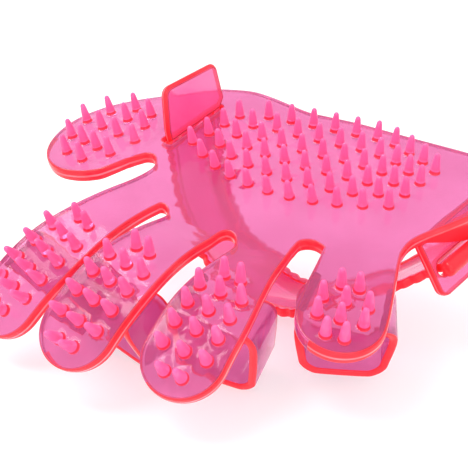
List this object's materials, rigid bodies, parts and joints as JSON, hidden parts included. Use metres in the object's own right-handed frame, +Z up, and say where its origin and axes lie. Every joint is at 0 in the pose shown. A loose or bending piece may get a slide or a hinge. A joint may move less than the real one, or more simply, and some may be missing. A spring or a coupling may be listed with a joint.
{
  "type": "grooming glove",
  "caption": "Five-finger grooming glove in clear pink gel: bristled palm and fingers, finger loops underneath and a toothed strap across the back of the hand.",
  "frame": {"origin": "centre of the bounding box's bottom face: the table that the glove lies on", "axes": "+Z up, bristles upwards. Fingers towards -Y, wrist towards +Y, thumb towards -X, little finger towards +X"},
  "size_m": [0.1378, 0.136, 0.0728],
  "materials": {
    "glove_gel": "clear glossy gel",
    "strap_gel": "clear glossy gel"
  },
  "bodies": {
    "palm": {"palm_plate": "glove_gel"},
    "thumb": {"thumb_plate": "glove_gel"},
    "index_root": {"index_base": "glove_gel"},
    "index_tip": {"index_pad": "glove_gel", "index_loop": "glove_gel"},
    "middle_root": {"middle_base": "glove_gel"},
    "middle_tip": {"middle_pad": "glove_gel", "middle_loop": "glove_gel"},
    "ring_root": {"ring_base": "glove_gel"},
    "ring_tip": {"ring_pad": "glove_gel", "ring_loop": "glove_gel"},
    "little_finger": {"little_pad": "glove_gel", "little_loop": "glove_gel"},
    "pull_tab": {"strap_pull_tab": "strap_gel"},
    "strap_band": {"strap_thumb_leg": "strap_gel", "strap_back": "strap_gel"},
    "buckle": {"buckle_tab": "strap_gel", "strap_anchor_bar": "strap_gel"},
    "strap_end": {"strap_outer_leg": "strap_gel"}
  },
  "joints": [
    {"name": "thumb_flex", "type": "hinge", "parent": "palm", "child": "thumb", "pos_m": [-0.03776, 0.00809, 0.05431], "axis": [-0.2195, 0.9239, 0.3135], "range_deg": [-2, 40], "stiffness_Nm_per_rad": 0.2},
    {"name": "index_flex", "type": "hinge", "parent": "palm", "child": "index_root", "pos_m": [-0.01327, -0.01373, 0.04264], "axis": [-0.9758, 0.0099, 0.2186], "range_deg": [-8, 60], "stiffness_Nm_per_rad": 0.3},
    {"name": "index_tip_flex", "type": "hinge", "parent": "index_root", "child": "index_tip", "pos_m": [-0.01519, -0.04037, 0.03529], "axis": [-0.9701, -0.0025, 0.2427], "range_deg": [-8, 35], "stiffness_Nm_per_rad": 0.3},
    {"name": "middle_flex", "type": "hinge", "parent": "palm", "child": "middle_root", "pos_m": [0.00623, -0.01432, 0.03816], "axis": [-0.9696, -0.1839, 0.1616], "range_deg": [-8, 60], "stiffness_Nm_per_rad": 0.3},
    {"name": "middle_tip_flex", "type": "hinge", "parent": "middle_root", "child": "middle_tip", "pos_m": [0.00939, -0.03314, 0.03572], "axis": [-0.9667, -0.1865, 0.1753], "range_deg": [-8, 35], "stiffness_Nm_per_rad": 0.3},
    {"name": "ring_flex", "type": "hinge", "parent": "palm", "child": "ring_root", "pos_m": [0.02729, -0.00741, 0.03548], "axis": [-0.9354, -0.3359, 0.1105], "range_deg": [-8, 60], "stiffness_Nm_per_rad": 0.3},
    {"name": "ring_tip_flex", "type": "hinge", "parent": "ring_root", "child": "ring_tip", "pos_m": [0.03195, -0.02119, 0.03299], "axis": [-0.9334, -0.3374, 0.122], "range_deg": [-8, 35], "stiffness_Nm_per_rad": 0.3},
    {"name": "little_flex", "type": "hinge", "parent": "palm", "child": "little_finger", "pos_m": [0.04689, 0.01019, 0.03619], "axis": [-0.8715, -0.4875, 0.0529], "range_deg": [-4, 60], "stiffness_Nm_per_rad": 0.3},
    {"name": "buckle_flex", "type": "hinge", "parent": "palm", "child": "buckle", "pos_m": [0.05409, 0.03975, 0.03733], "axis": [0, 0.9613, 0.2756], "range_deg": [-3, 10], "stiffness_Nm_per_rad": 0.1},
    {"name": "strap_pull", "type": "slide", "parent": "palm", "child": "pull_tab", "axis": [0, 0, 1], "range_m": [0, 0.005]},
    {"name": "strap_back_lift", "type": "slide", "parent": "palm", "child": "strap_band", "axis": [0, 0, 1], "range_m": [0, 0.0025]},
    {"name": "strap_end_swing", "type": "hinge", "parent": "buckle", "child": "strap_end", "pos_m": [0.05482, 0.04082, 0.02965], "axis": [-0.1454, 0.9503, 0.2753], "range_deg": [0, 6.4]}
  ],
  "couplings": [
    {"joint": "strap_back_lift", "follows": "strap_pull", "ratio": 0.5},
    {"joint": "strap_end_swing", "follows": "strap_pull", "rad_per_m": 22}
  ]
}
